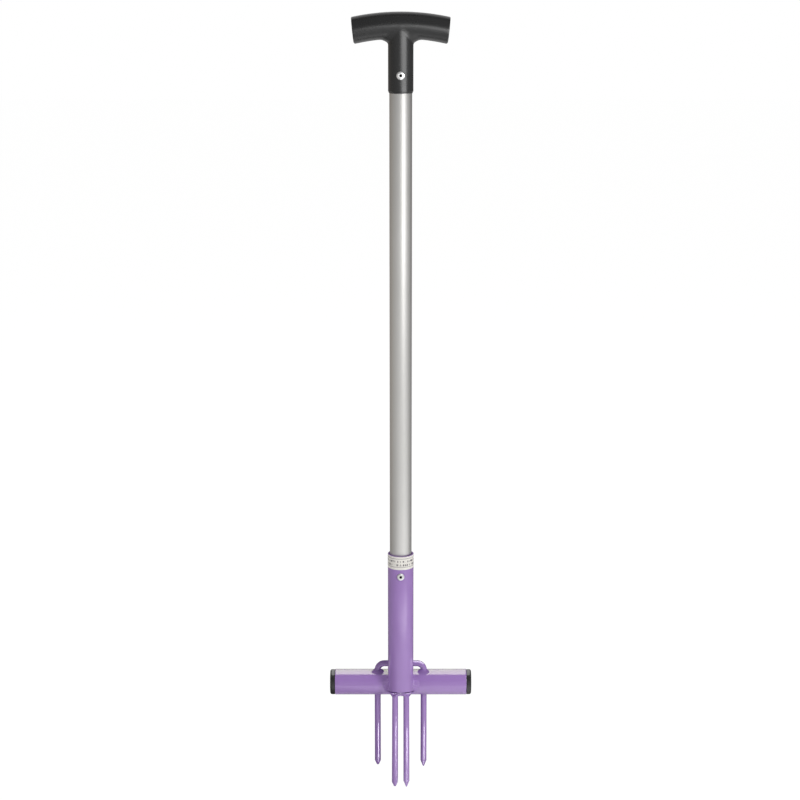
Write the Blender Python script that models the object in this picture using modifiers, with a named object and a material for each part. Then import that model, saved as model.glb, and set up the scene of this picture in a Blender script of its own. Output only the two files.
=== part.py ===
"""Lawn aerator fork: a T-handled aluminium shaft riveted into a steel head.

The head is a socket tube saddled on a horizontal foot bar, with two bent rods
that end in four pointed tines. Metres, +Z up. The inner tine tips stand at
Z = 0, and Y = 0 lies midway between the shaft's axis and the foot bar's axis.
"""

import math

import bmesh
import bpy
from mathutils import Vector

MM = 0.001
TURN = 2 * math.pi

# Tines: two bent rods of one stock, measured down from the foot bar's axis
INNER_TINE_REACH = 140.0 * MM
OUTER_TINE_REACH = 118.7 * MM
INNER_TINE_PITCH = 15.3 * MM
OUTER_TINE_PITCH = 60.9 * MM
TINE_ROD_DIAMETER = 8.0 * MM
TINE_POINT_LENGTH = 8.0 * MM
TINE_NOSE_DIAMETER = 2.0 * MM
TINE_NOSE_CHAMFER = 0.4 * MM
STAPLE_LOOP_HEIGHT = 5.0 * MM

# Foot bar and its end caps
BAR_DIAMETER = 33.7 * MM
BAR_WALL = 2.0 * MM
BAR_BEYOND_TINES = 56.1 * MM
CAP_FLANGE = 6.2 * MM
CAP_EDGE_RADIUS = 2.6 * MM
CAP_PLUG_LENGTH = 15.0 * MM
CAP_PLUG_WALL = 2.2 * MM

# Shaft, and the socket that takes it
SHAFT_DIAMETER = 28.0 * MM
SHAFT_WALL = 1.6 * MM
SHAFT_LENGTH = 723.0 * MM
SHAFT_IN_SOCKET = 75.0 * MM
SHAFT_IN_HANDLE = 58.0 * MM
SOCKET_WALL = 2.3 * MM
SOCKET_LENGTH = 185.4 * MM
SOCKET_BELOW_BAR_AXIS = 0.6 * MM
LABEL_HEIGHT = 14.7 * MM
LABEL_BELOW_RIM = 2.9 * MM
LABEL_THICKNESS = 0.3 * MM
LABEL_TO_RIVET_HEAD = 4.55 * MM

# T-handle moulding
NECK_WALL = 1.2 * MM
BORE_END_TO_GRIP_AXIS = 22.0 * MM
NECK_EDGE_RADIUS = 0.8 * MM
NECK_FILLET_REACH = 10.5 * MM
NECK_FILLET_DROP = 7.0 * MM
GRIP_OVER_NECK = 0.7 * MM
GRIP_LENGTH = 117.6 * MM
GRIP_BEND_RADIUS = 270.0 * MM
GRIP_END_RAKE = 3.4 * MM
GRIP_EDGE_RADIUS = 1.2 * MM

# Blind rivets: a flanged tube, bulged behind the wall by the mandrel's head
MANDREL_DIAMETER = 2.0 * MM
MANDREL_HEAD_LENGTH = 2.0 * MM
MANDREL_HEAD_TAPER = 1.0 * MM
MANDREL_RECESS = 1.0 * MM
RIVET_TUBE_WALL = 1.1 * MM
RIVET_FLANGE = 2.35 * MM
RIVET_HEAD_HEIGHT = 1.7 * MM
RIVET_RIM = 0.4 * MM
RIVET_CROWN_LAND = 0.85 * MM
RIVET_BULGE = 0.9 * MM
RIVET_BULB_LENGTH = 4.0 * MM
RIVET_BULB_TAPER = 1.0 * MM
HANDLE_RIVET_ABOVE_NECK = 20.5 * MM

# Welds
SOCKET_WELD_LEG = 7.0 * MM
SOCKET_WELD_START = math.radians(38.0)
STAPLE_WELD_LEG = 3.6 * MM
HAIRPIN_WELD_LEG = 2.4 * MM

# Weld forms, in legs. A fillet's section runs out along one surface and up the other
WELD_FACE = [(-0.6, 1.45), (0.18, 0.66), (0.4, 0.4), (0.66, 0.18), (1.45, -0.6)]
WELD_ROOT = [(-0.6, -0.6)]
# How far the side weld has swollen at its first sections, then its (drop, swell) at the toe
SOCKET_WELD_HEAD = [0.4, 0.65, 0.88]
SOCKET_WELD_TOE = [(0.2, 0.95), (0.4, 0.8), (0.55, 0.55), (0.62, 0.25)]
# The collar's rings round a staple leg, as (spread, lift) from the top down
STAPLE_WELD_RINGS = [(0.0, 1.0), (0.3, 0.45), (1.3, -0.3), (0.2, -0.6)]

# Clearances
FIT_GAP = 0.3 * MM
SEAT_GAP = 0.3 * MM
STAPLE_GAP = 0.5 * MM

# Facets round a full turn, along a bend and over a rounded edge
LARGE_STEPS = 48
SMALL_STEPS = 24
GRIP_SIDES = 32
ROD_SIDES = 16
BEND_STEPS = 10
EDGE_STEPS = 4
SHARP_ANGLE = math.radians(35.0)
GRIP_END_ANGLE = math.radians(50.0)

# Finishes: base colour, roughness, metallic
POWDER_COAT = ((0.30, 0.18, 0.45), 0.32, 0.0)
ANODISED_ALUMINIUM = ((0.68, 0.68, 0.67), 0.38, 1.0)
MOULDED_POLYPROPYLENE = ((0.022, 0.022, 0.023), 0.48, 0.0)
CAP_POLYETHYLENE = ((0.016, 0.016, 0.017), 0.30, 0.0)
RIVET_ALUMINIUM = ((0.80, 0.80, 0.80), 0.30, 1.0)
MANDREL_STEEL = ((0.08, 0.08, 0.08), 0.50, 1.0)
LABEL_VINYL = ((0.82, 0.81, 0.79), 0.45, 0.0)

SIDES = (("left", -1.0), ("right", 1.0))

# Sizes that follow from the ones above
ROD_RADIUS = TINE_ROD_DIAMETER / 2
BAR_LENGTH = OUTER_TINE_PITCH + 2 * BAR_BEYOND_TINES
BAR_RADIUS = BAR_DIAMETER / 2
BAR_BORE = BAR_RADIUS - BAR_WALL
SHAFT_RADIUS = SHAFT_DIAMETER / 2
SHAFT_BORE = SHAFT_RADIUS - SHAFT_WALL
SLEEVE_BORE = SHAFT_RADIUS + FIT_GAP
SOCKET_RADIUS = SLEEVE_BORE + SOCKET_WALL
NECK_RADIUS = SLEEVE_BORE + NECK_WALL
NECK_TO_GRIP_AXIS = SHAFT_IN_HANDLE + BORE_END_TO_GRIP_AXIS
GRIP_RADIUS = NECK_RADIUS + GRIP_OVER_NECK
GRIP_DIAMETER = 2 * GRIP_RADIUS
GRIP_END_TILT = math.atan2(GRIP_END_RAKE, GRIP_DIAMETER)
MANDREL_RADIUS = MANDREL_DIAMETER / 2
RIVET_BORE = MANDREL_RADIUS + FIT_GAP
RIVET_SHANK = RIVET_BORE + RIVET_TUBE_WALL
RIVET_HEAD = RIVET_SHANK + RIVET_FLANGE
RIVET_BULB = RIVET_SHANK + RIVET_BULGE
MANDREL_HEAD = RIVET_SHANK - FIT_GAP

# The staple's bridge passes close behind the socket, in the foot bar's own plane
BAR_OFFSET = SOCKET_RADIUS + STAPLE_GAP + ROD_RADIUS
SHAFT_Y = -BAR_OFFSET / 2
BAR_Y = BAR_OFFSET / 2
HAIRPIN_Y = BAR_Y - BAR_RADIUS - STAPLE_GAP - ROD_RADIUS

# Heights, from the inner tine tips up
BAR_Z = INNER_TINE_REACH
OUTER_TIP_Z = BAR_Z - OUTER_TINE_REACH
LIP_Z = BAR_Z - SOCKET_BELOW_BAR_AXIS
RIM_Z = LIP_Z + SOCKET_LENGTH
SHAFT_Z = RIM_Z - SHAFT_IN_SOCKET
NECK_Z = SHAFT_Z + SHAFT_LENGTH - SHAFT_IN_HANDLE
GRIP_Z = NECK_Z + NECK_TO_GRIP_AXIS
LABEL_TOP_Z = RIM_Z - LABEL_BELOW_RIM
LABEL_Z = LABEL_TOP_Z - LABEL_HEIGHT
SOCKET_RIVET_Z = LABEL_Z - LABEL_TO_RIVET_HEAD - RIVET_HEAD
HANDLE_RIVET_Z = NECK_Z + HANDLE_RIVET_ABOVE_NECK
HAIRPIN_CENTRE_Z = LIP_Z - STAPLE_GAP - ROD_RADIUS - INNER_TINE_PITCH / 2
BRIDGE_Z = BAR_Z + BAR_RADIUS + STAPLE_LOOP_HEIGHT + ROD_RADIUS


def clear_scene():
    for obj in list(bpy.data.objects):
        bpy.data.objects.remove(obj, do_unlink=True)


def new_collection(name):
    collection = bpy.data.collections.new(name)
    bpy.context.scene.collection.children.link(collection)
    return collection


def make_material(name, finish):
    colour, roughness, metallic = finish
    material = bpy.data.materials.new(name)
    material.use_nodes = True
    shader = material.node_tree.nodes["Principled BSDF"]
    shader.inputs["Base Color"].default_value = (*colour, 1.0)
    shader.inputs["Roughness"].default_value = roughness
    shader.inputs["Metallic"].default_value = metallic
    return material


def add_object(name, data, collection):
    obj = bpy.data.objects.new(name, data)
    collection.objects.link(obj)
    return obj


def finish_part(obj, finish):
    """Gives a part its material, smooth shading and the fork as its parent."""
    obj.data.materials.clear()
    obj.data.materials.append(make_material(obj.name, finish))
    obj.data.shade_smooth()
    obj.data.set_sharp_from_angle(angle=SHARP_ANGLE)
    obj.parent = FORK
    return obj


def hide_cutter(obj):
    obj.hide_render = True
    obj.display_type = "WIRE"
    return obj


def boolean(obj, other, operation="DIFFERENCE"):
    modifier = obj.modifiers.new(operation.title() + " " + other.name, "BOOLEAN")
    modifier.operation = operation
    modifier.object = other


def turned(name, profile, steps, collection, closed, bearing=0.0):
    """A profile of (radius, height) points turned about Z from a bearing; closed joins its ends."""
    across = math.cos(bearing)
    along = math.sin(bearing)
    mesh = bpy.data.meshes.new(name)
    edges = [(i, i + 1) for i in range(len(profile) - 1)]
    if closed:
        edges.append((len(profile) - 1, 0))
    mesh.from_pydata([(r * across, r * along, z) for r, z in profile], edges, [])
    obj = add_object(name, mesh, collection)
    screw = obj.modifiers.new("Turn", "SCREW")
    screw.steps = steps
    screw.render_steps = steps
    screw.use_merge_vertices = True
    screw.merge_threshold = 0.01 * MM
    return obj


def tube(name, outer, inner, low, high, collection):
    profile = [(outer, high), (outer, low), (inner, low), (inner, high)]
    return turned(name, profile, LARGE_STEPS, collection, closed=True)


def round_cutter(name, radius, low, high, steps=LARGE_STEPS):
    """A solid cylinder about Z, turned half a facet so that its edges lie on no part's edges."""
    profile = [(0.0, high), (radius, high), (radius, low), (0.0, low)]
    return hide_cutter(turned(name, profile, steps, CUTTERS, closed=False, bearing=math.pi / steps))


def arc(centre, radius, start, end, steps):
    """Points (u, v) on a circular arc, both ends included, angles in radians."""
    turn = (end - start) / steps
    angles = [start + turn * i for i in range(steps + 1)]
    return [(centre[0] + radius * math.cos(a), centre[1] + radius * math.sin(a)) for a in angles]


def swept(name, path, radius, sides, collection, scales=None):
    """A round bar along a path, as a closed mesh; scales thin it point by point."""
    curve = bpy.data.curves.new(name, "CURVE")
    curve.dimensions = "3D"
    curve.bevel_depth = radius
    curve.bevel_resolution = sides // 2 - 2
    curve.use_fill_caps = True
    spline = curve.splines.new("POLY")
    spline.points.add(len(path) - 1)
    for i, point in enumerate(path):
        spline.points[i].co = (*point, 1.0)
        spline.points[i].radius = scales[i] if scales else 1.0
    guide = add_object(name + "_path", curve, collection)
    graph = bpy.context.evaluated_depsgraph_get()
    mesh = bpy.data.meshes.new_from_object(guide.evaluated_get(graph))
    bpy.data.objects.remove(guide)
    bm = bmesh.new()
    bm.from_mesh(mesh)
    bmesh.ops.remove_doubles(bm, verts=bm.verts, dist=0.001 * MM)
    bmesh.ops.recalc_face_normals(bm, faces=bm.faces)
    bm.to_mesh(mesh)
    bm.free()
    mesh.name = name
    return add_object(name, mesh, collection)


def cube(name, size, collection):
    mesh = bpy.data.meshes.new(name)
    bm = bmesh.new()
    bmesh.ops.create_cube(bm, size=size)
    bm.to_mesh(mesh)
    bm.free()
    return add_object(name, mesh, collection)


def lofted(name, rings, collection):
    """A closed skin over rings of equal length, with a face across each end."""
    bm = bmesh.new()
    loops = [[bm.verts.new(point) for point in ring] for ring in rings]
    count = len(rings[0])
    for first, second in zip(loops, loops[1:]):
        for i in range(count):
            after = (i + 1) % count
            bm.faces.new((first[i], first[after], second[after], second[i]))
    bm.faces.new(loops[0])
    bm.faces.new(reversed(loops[-1]))
    bmesh.ops.recalc_face_normals(bm, faces=bm.faces)
    mesh = bpy.data.meshes.new(name)
    bm.to_mesh(mesh)
    bm.free()
    return add_object(name, mesh, collection)


def tine_path(half_pitch, y, tip_z, bend_radius, bend_z):
    """Centre line of a bent rod: up one leg, over the top and down the other."""
    right = arc((half_pitch - bend_radius, bend_z), bend_radius, 0.0, math.pi / 2, BEND_STEPS)
    left = [(-x, z) for x, z in reversed(right)]
    if left[0][0] > right[-1][0] - FIT_GAP:
        left = left[1:]
    point_z = tip_z + TINE_POINT_LENGTH
    foot = [(half_pitch, z) for z in (tip_z, tip_z + TINE_NOSE_CHAMFER, point_z)]
    far = [(-x, z) for x, z in reversed(foot)]
    return [Vector((x, y, z)) for x, z in foot + right + left + far]


def tine_scales(count):
    """The rod's thickness along its path: a blunt nose and a pencil point at each end."""
    nose = TINE_NOSE_DIAMETER / 2
    tip = [(nose - TINE_NOSE_CHAMFER) / ROD_RADIUS, nose / ROD_RADIUS, 1.0]
    return tip + [1.0] * (count - 2 * len(tip)) + tip[::-1]


def build_tine_rod(name, path):
    """One bent rod; returns a fatter copy that cuts its clearance out of the welds."""
    scales = tine_scales(len(path))
    finish_part(swept(name, path, ROD_RADIUS, ROD_SIDES, PARTS, scales), POWDER_COAT)
    cutter = swept(name + "_clearance", path, ROD_RADIUS + SEAT_GAP, ROD_SIDES, CUTTERS, scales)
    return hide_cutter(cutter)


def build_staple():
    """The outer tines: one rod that goes up through the foot bar and over its top."""
    bend = STAPLE_LOOP_HEIGHT + ROD_RADIUS
    path = tine_path(OUTER_TINE_PITCH / 2, BAR_Y, OUTER_TIP_Z, bend, BRIDGE_Z - bend)
    return build_tine_rod("outer_tine_staple", path)


def build_hairpin():
    """The inner tines: one rod bent double under the socket's lip."""
    bend = INNER_TINE_PITCH / 2
    path = tine_path(bend, HAIRPIN_Y, 0.0, bend, HAIRPIN_CENTRE_Z)
    return build_tine_rod("inner_tine_hairpin", path)


def build_bar_clearance():
    cutter = round_cutter("bar_clearance", BAR_RADIUS + SEAT_GAP, -BAR_LENGTH, BAR_LENGTH)
    cutter.rotation_euler = (0.0, math.pi / 2, 0.0)
    cutter.location = (0.0, BAR_Y, BAR_Z)
    return cutter


def build_socket_clearance():
    cutter = round_cutter("socket_clearance", SOCKET_RADIUS + SEAT_GAP, LIP_Z - SEAT_GAP, RIM_Z)
    cutter.location.y = SHAFT_Y
    return cutter


def build_foot_bar():
    bar = tube("foot_bar", BAR_RADIUS, BAR_BORE, -BAR_LENGTH / 2, BAR_LENGTH / 2, PARTS)
    bar.rotation_euler = (0.0, math.pi / 2, 0.0)
    bar.location = (0.0, BAR_Y, BAR_Z)
    for side, sign in SIDES:
        radius = ROD_RADIUS + FIT_GAP
        hole = round_cutter(side + "_tine_hole", radius, -BAR_DIAMETER, BAR_DIAMETER, SMALL_STEPS)
        hole.location = (sign * OUTER_TINE_PITCH / 2, BAR_Y, BAR_Z)
        boolean(bar, hole)
    finish_part(bar, POWDER_COAT)


def build_end_cap(side, sign):
    """A flanged cup pushed into the foot bar's end; its outer face is flat."""
    centre = (BAR_RADIUS - CAP_EDGE_RADIUS, CAP_FLANGE - CAP_EDGE_RADIUS)
    rounding = arc(centre, CAP_EDGE_RADIUS, math.pi / 2, 0.0, EDGE_STEPS)
    plug = BAR_BORE - FIT_GAP
    profile = [
        (0.0, CAP_FLANGE),
        *rounding,
        (BAR_RADIUS, 0.0),
        (plug, 0.0),
        (plug, -CAP_PLUG_LENGTH),
        (plug - CAP_PLUG_WALL, -CAP_PLUG_LENGTH),
        (plug - CAP_PLUG_WALL, 0.0),
        (0.0, 0.0),
    ]
    cap = turned(side + "_end_cap", profile, LARGE_STEPS, PARTS, closed=False)
    cap.rotation_euler = (0.0, sign * math.pi / 2, 0.0)
    cap.location = (sign * (BAR_LENGTH / 2 + SEAT_GAP), BAR_Y, BAR_Z)
    finish_part(cap, CAP_POLYETHYLENE)


def build_socket(bar_cutter):
    socket = tube("socket", SOCKET_RADIUS, SLEEVE_BORE, LIP_Z, RIM_Z, PARTS)
    socket.location.y = SHAFT_Y
    boolean(socket, bar_cutter)
    return finish_part(socket, POWDER_COAT)


def build_label():
    inner = SOCKET_RADIUS + SEAT_GAP
    label = tube("socket_label", inner + LABEL_THICKNESS, inner, LABEL_Z, LABEL_TOP_Z, PARTS)
    label.location.y = SHAFT_Y
    finish_part(label, LABEL_VINYL)


def build_shaft():
    shaft = tube("shaft_tube", SHAFT_RADIUS, SHAFT_BORE, SHAFT_Z, SHAFT_Z + SHAFT_LENGTH, PARTS)
    shaft.location.y = SHAFT_Y
    return finish_part(shaft, ANODISED_ALUMINIUM)


def grip_point(along):
    """The point of the grip's bent centre line this far along it from the middle."""
    turn = along / GRIP_BEND_RADIUS
    drop = GRIP_BEND_RADIUS * (1.0 - math.cos(turn))
    return Vector((GRIP_BEND_RADIUS * math.sin(turn), SHAFT_Y, GRIP_Z - drop))


def build_grip():
    """The bent round grip, cut square-ended with a slight tilt and softened edges."""
    half = GRIP_BEND_RADIUS * math.asin(GRIP_LENGTH / 2 / GRIP_BEND_RADIUS)
    step = (half + GRIP_DIAMETER) / BEND_STEPS
    path = [grip_point(step * i) for i in range(-BEND_STEPS, BEND_STEPS + 1)]
    grip = swept("t_handle", path, GRIP_RADIUS, GRIP_SIDES, PARTS)
    for side, sign in SIDES:
        size = 2 * GRIP_DIAMETER
        block = cube(side + "_grip_end_cut", size, CUTTERS)
        outward = Vector((sign * math.cos(GRIP_END_TILT), 0.0, -math.sin(GRIP_END_TILT)))
        block.rotation_euler = (0.0, sign * GRIP_END_TILT, 0.0)
        block.location = grip_point(sign * half) + outward * size / 2
        boolean(grip, hide_cutter(block))
    bevel = grip.modifiers.new("Soft ends", "BEVEL")
    bevel.width = GRIP_EDGE_RADIUS
    bevel.segments = EDGE_STEPS - 1
    bevel.limit_method = "ANGLE"
    bevel.angle_limit = GRIP_END_ANGLE
    return grip


def neck_fillet(side, sign):
    """Web that blends the neck's side into the underside of the grip."""
    quarter = arc((1.0, -1.0), 1.0, math.pi, math.pi / 2, EDGE_STEPS + 2)
    rings = []
    for i in range(-BEND_STEPS, BEND_STEPS + 1):
        bearing = math.pi / 2 * i / (BEND_STEPS + 1)
        spread = math.cos(bearing)
        y = NECK_RADIUS * math.sin(bearing)
        corner_x = NECK_RADIUS * spread
        corner_z = GRIP_Z - math.sqrt(GRIP_RADIUS**2 - y**2)
        reach = NECK_FILLET_REACH * spread
        drop = NECK_FILLET_DROP * spread
        section = [(corner_x + u * reach, corner_z + v * drop) for u, v in quarter]
        root = drop / 2
        section.append((corner_x + reach, corner_z + root))
        section.append((corner_x - root, corner_z + root))
        section.append((corner_x - root, corner_z - drop))
        rings.append([(sign * x, SHAFT_Y + y, z) for x, z in section])
    return hide_cutter(lofted(side + "_neck_fillet", rings, CUTTERS))


def build_handle():
    """Grip, neck and their fillets in one moulding, with a blind bore for the shaft."""
    handle = build_grip()
    centre = (NECK_RADIUS - NECK_EDGE_RADIUS, NECK_EDGE_RADIUS)
    rounding = arc(centre, NECK_EDGE_RADIUS, 0.0, -math.pi / 2, EDGE_STEPS)
    profile = [(0.0, NECK_TO_GRIP_AXIS), (NECK_RADIUS, NECK_TO_GRIP_AXIS), *rounding, (0.0, 0.0)]
    neck = turned("handle_neck", profile, LARGE_STEPS, CUTTERS, closed=False)
    neck.location = (0.0, SHAFT_Y, NECK_Z)
    boolean(handle, hide_cutter(neck), "UNION")
    for side, sign in SIDES:
        boolean(handle, neck_fillet(side, sign), "UNION")
    bore = round_cutter("handle_bore", SLEEVE_BORE, -SHAFT_DIAMETER, SHAFT_IN_HANDLE + SEAT_GAP)
    bore.location = (0.0, SHAFT_Y, NECK_Z)
    boolean(handle, bore)
    return finish_part(handle, MOULDED_POLYPROPYLENE)


def rivet_profile(grip, tail):
    """Section of a set rivet's tube: domed head above 0, bulb below the gripped walls."""
    mouth = RIVET_HEAD_HEIGHT - RIVET_RIM
    crown = RIVET_BORE + RIVET_CROWN_LAND
    quarter = arc((0.0, 0.0), 1.0, math.pi / 2, 0.0, EDGE_STEPS + 1)
    dome = [(crown + u * (RIVET_HEAD - crown), RIVET_RIM + v * mouth) for u, v in quarter]
    return [
        (RIVET_BORE, mouth),
        *dome,
        (RIVET_HEAD, 0.0),
        (RIVET_SHANK, 0.0),
        (RIVET_SHANK, -grip),
        (RIVET_BULB, -grip - RIVET_BULB_TAPER),
        (RIVET_BULB, -tail + RIVET_BULB_TAPER),
        (RIVET_SHANK, -tail),
        (RIVET_BORE, -tail),
    ]


def mandrel_profile(tail):
    """Section of the mandrel left in a set rivet: a broken stem and a head behind the tube."""
    broken_end = RIVET_HEAD_HEIGHT - RIVET_RIM - MANDREL_RECESS
    shoulder = -tail - SEAT_GAP
    end = shoulder - MANDREL_HEAD_LENGTH
    return [
        (0.0, broken_end),
        (MANDREL_RADIUS, broken_end),
        (MANDREL_RADIUS, shoulder),
        (MANDREL_HEAD, shoulder),
        (MANDREL_HEAD, end + MANDREL_HEAD_TAPER),
        (MANDREL_RADIUS, end),
        (0.0, end),
    ]


def build_rivet(name, height, surface_radius, pierced):
    """A blind rivet through a sleeve and the shaft wall, its head facing -Y."""
    seat = surface_radius + SEAT_GAP
    inner_wall = math.sqrt(SHAFT_BORE**2 - RIVET_BULB**2)
    grip = seat - inner_wall + SEAT_GAP
    tail = grip + RIVET_BULB_LENGTH
    body = turned(name + "_body", rivet_profile(grip, tail), SMALL_STEPS, PARTS, closed=True)
    mandrel = turned(name + "_mandrel", mandrel_profile(tail), SMALL_STEPS, PARTS, closed=False)
    hole = round_cutter(name + "_hole", RIVET_SHANK + FIT_GAP, -tail, RIVET_HEAD, SMALL_STEPS)
    for obj in (body, mandrel, hole):
        obj.rotation_euler = (math.pi / 2, 0.0, 0.0)
        obj.location = (0.0, SHAFT_Y - seat, height)
    for part in pierced:
        boolean(part, hole)
    finish_part(body, RIVET_ALUMINIUM)
    finish_part(mandrel, MANDREL_STEEL)


def socket_weld_section(bearing, leg):
    """Points of the side weld's section where the socket, at this bearing, meets the foot bar."""
    across = Vector((math.sin(bearing), math.cos(bearing), 0.0))
    depth = SOCKET_RADIUS * across.y - BAR_OFFSET
    rise = math.sqrt(max(0.0, BAR_RADIUS**2 - depth**2))
    up = Vector((0.0, depth, rise)) / BAR_RADIUS
    corner = Vector((0.0, SHAFT_Y, BAR_Z + rise)) + SOCKET_RADIUS * across
    along_socket = (up - across * up.dot(across)).normalized()
    along_bar = (across - up * across.dot(up)).normalized()
    return [corner + leg * (along_bar * u + along_socket * v) for u, v in WELD_FACE + WELD_ROOT]


def build_socket_weld(side, sign, cutters):
    """Fillet weld that runs down one side of the socket, on the foot bar."""
    last = math.acos((BAR_OFFSET - BAR_RADIUS) / SOCKET_RADIUS)
    step = (last - SOCKET_WELD_START) / BEND_STEPS
    full = BEND_STEPS + 1 - len(SOCKET_WELD_HEAD)
    sections = []
    for i, swell in enumerate(SOCKET_WELD_HEAD + [1.0] * full):
        sections.append(socket_weld_section(SOCKET_WELD_START + step * i, SOCKET_WELD_LEG * swell))
    for drop, swell in SOCKET_WELD_TOE:
        section = socket_weld_section(last, SOCKET_WELD_LEG * swell)
        sections.append([point - Vector((0.0, 0.0, SOCKET_WELD_LEG * drop)) for point in section])
    rings = [[(sign * point.x, point.y, point.z) for point in section] for section in sections]
    weld = lofted(side + "_socket_weld", rings, PARTS)
    for cutter in cutters:
        boolean(weld, cutter)
    finish_part(weld, POWDER_COAT)


def build_staple_weld(side, sign, cutters):
    """A flared collar of weld round one leg of the staple, shaped to the foot bar's top."""
    neck = ROD_RADIUS + 2 * SEAT_GAP
    rings = []
    for spread, lift in STAPLE_WELD_RINGS:
        radius = neck + spread * STAPLE_WELD_LEG
        ring = []
        for x, y in arc((0.0, 0.0), radius, 0.0, TURN - TURN / SMALL_STEPS, SMALL_STEPS - 1):
            fall = BAR_RADIUS - math.sqrt(BAR_RADIUS**2 - min(abs(y), BAR_RADIUS) ** 2)
            ring.append((x, y, lift * STAPLE_WELD_LEG - fall))
        rings.append(ring)
    weld = lofted(side + "_staple_weld", rings, PARTS)
    weld.location = (sign * OUTER_TINE_PITCH / 2, BAR_Y, BAR_Z + BAR_RADIUS)
    for cutter in cutters:
        boolean(weld, cutter)
    finish_part(weld, POWDER_COAT)


def build_hairpin_weld(cutters):
    """Weld that fills round the hairpin's crown, against the foot bar and under the lip."""
    width = INNER_TINE_PITCH / 2 + ROD_RADIUS + HAIRPIN_WELD_LEG
    depth = ROD_RADIUS + HAIRPIN_WELD_LEG / 2
    height = ROD_RADIUS + HAIRPIN_WELD_LEG / 4
    bm = bmesh.new()
    bmesh.ops.create_uvsphere(bm, u_segments=SMALL_STEPS, v_segments=SMALL_STEPS // 2, radius=1.0)
    bmesh.ops.scale(bm, verts=bm.verts, vec=(width, depth, height))
    mesh = bpy.data.meshes.new("hairpin_weld")
    bm.to_mesh(mesh)
    bm.free()
    weld = add_object("hairpin_weld", mesh, PARTS)
    crown_z = HAIRPIN_CENTRE_Z + INNER_TINE_PITCH / 2
    weld.location = (0.0, HAIRPIN_Y + HAIRPIN_WELD_LEG, crown_z - HAIRPIN_WELD_LEG)
    for cutter in cutters:
        boolean(weld, cutter)
    finish_part(weld, POWDER_COAT)


def build_fork():
    bar_cutter = build_bar_clearance()
    socket_cutter = build_socket_clearance()
    staple_cutter = build_staple()
    hairpin_cutter = build_hairpin()
    build_foot_bar()
    socket = build_socket(bar_cutter)
    build_label()
    shaft = build_shaft()
    handle = build_handle()
    for side, sign in SIDES:
        build_end_cap(side, sign)
        build_socket_weld(side, sign, (bar_cutter, socket_cutter, staple_cutter))
        build_staple_weld(side, sign, (bar_cutter, staple_cutter))
    build_hairpin_weld((bar_cutter, socket_cutter, hairpin_cutter))
    build_rivet("handle_rivet", HANDLE_RIVET_Z, NECK_RADIUS, (handle, shaft))
    build_rivet("socket_rivet", SOCKET_RIVET_Z, SOCKET_RADIUS, (socket, shaft))


clear_scene()
PARTS = new_collection("lawn_aerator_fork")
CUTTERS = new_collection("cutters")
FORK = add_object("fork_origin", None, PARTS)
build_fork()
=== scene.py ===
import math

import bmesh
import bpy
import numpy as np
from mathutils import Matrix, Vector


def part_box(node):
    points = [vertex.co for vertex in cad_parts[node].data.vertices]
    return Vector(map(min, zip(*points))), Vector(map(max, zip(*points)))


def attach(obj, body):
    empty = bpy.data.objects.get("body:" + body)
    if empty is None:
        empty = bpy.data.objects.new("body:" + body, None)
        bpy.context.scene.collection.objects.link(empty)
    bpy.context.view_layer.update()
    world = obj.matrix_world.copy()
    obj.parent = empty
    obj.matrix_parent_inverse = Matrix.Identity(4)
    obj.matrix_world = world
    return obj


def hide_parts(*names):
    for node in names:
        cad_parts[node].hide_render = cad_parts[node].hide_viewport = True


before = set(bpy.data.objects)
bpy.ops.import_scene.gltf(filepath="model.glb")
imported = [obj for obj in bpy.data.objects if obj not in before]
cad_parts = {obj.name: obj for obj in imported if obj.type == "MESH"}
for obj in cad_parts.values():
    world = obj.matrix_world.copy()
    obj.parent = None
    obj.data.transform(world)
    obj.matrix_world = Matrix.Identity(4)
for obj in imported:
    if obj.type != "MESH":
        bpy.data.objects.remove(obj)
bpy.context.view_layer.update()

mm = 0.001
xAxis = Vector((1, 0, 0))
yAxis = Vector((0, 1, 0))
zAxis = Vector((0, 0, 1))
sides = (("left", -1), ("right", 1))

# Where the frame says things are, in metres
shaftLow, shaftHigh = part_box("shaft_tube")
socketLow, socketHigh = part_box("socket")
barLow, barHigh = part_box("foot_bar")
handleLow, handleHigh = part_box("t_handle")
stapleLow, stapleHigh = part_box("outer_tine_staple")
hairpinLow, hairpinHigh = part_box("inner_tine_hairpin")
labelLow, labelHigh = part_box("socket_label")
shaftY = (shaftLow.y + shaftHigh.y) / 2
shaftRadius = (shaftHigh.y - shaftLow.y) / 2
shaftAxis = Vector((0, shaftY, 0))
socketRadius = socketHigh.x
barCentre = (barLow + barHigh) / 2
barRadius = (barHigh.z - barLow.z) / 2
rodRadius = (stapleHigh.y - stapleLow.y) / 2


def toLinear(colour):
    # "#rrggbb" as sRGB, turned to the linear values that sockets take
    channels = [int(colour[i:i + 2], 16) / 255 for i in (1, 3, 5)]
    return [c / 12.92 if c <= 0.04045 else ((c + 0.055) / 1.055) ** 2.4 for c in channels] + [1.0]


def perMetre(size):
    # scale of a pattern whose features are this many millimetres across
    return 1000.0 / size


def addNode(tree, kind, inputs=None, **settings):
    node = tree.nodes.new(kind)
    for name, value in settings.items():
        setattr(node, name, value)
    for socket, value in (inputs or {}).items():
        if isinstance(value, bpy.types.NodeSocket):
            tree.links.new(value, node.inputs[socket])
        else:
            node.inputs[socket].default_value = value
    return node


def newMaterial(name, **sockets):
    material = bpy.data.materials.new(name)
    material.use_nodes = True
    tree = material.node_tree
    shader = tree.nodes["Principled BSDF"]
    for socket, value in sockets.items():
        shader.inputs[socket.replace("_", " ")].default_value = value
    where = addNode(tree, "ShaderNodeTexCoord").outputs["Object"]
    return material, tree, shader, where


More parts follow.
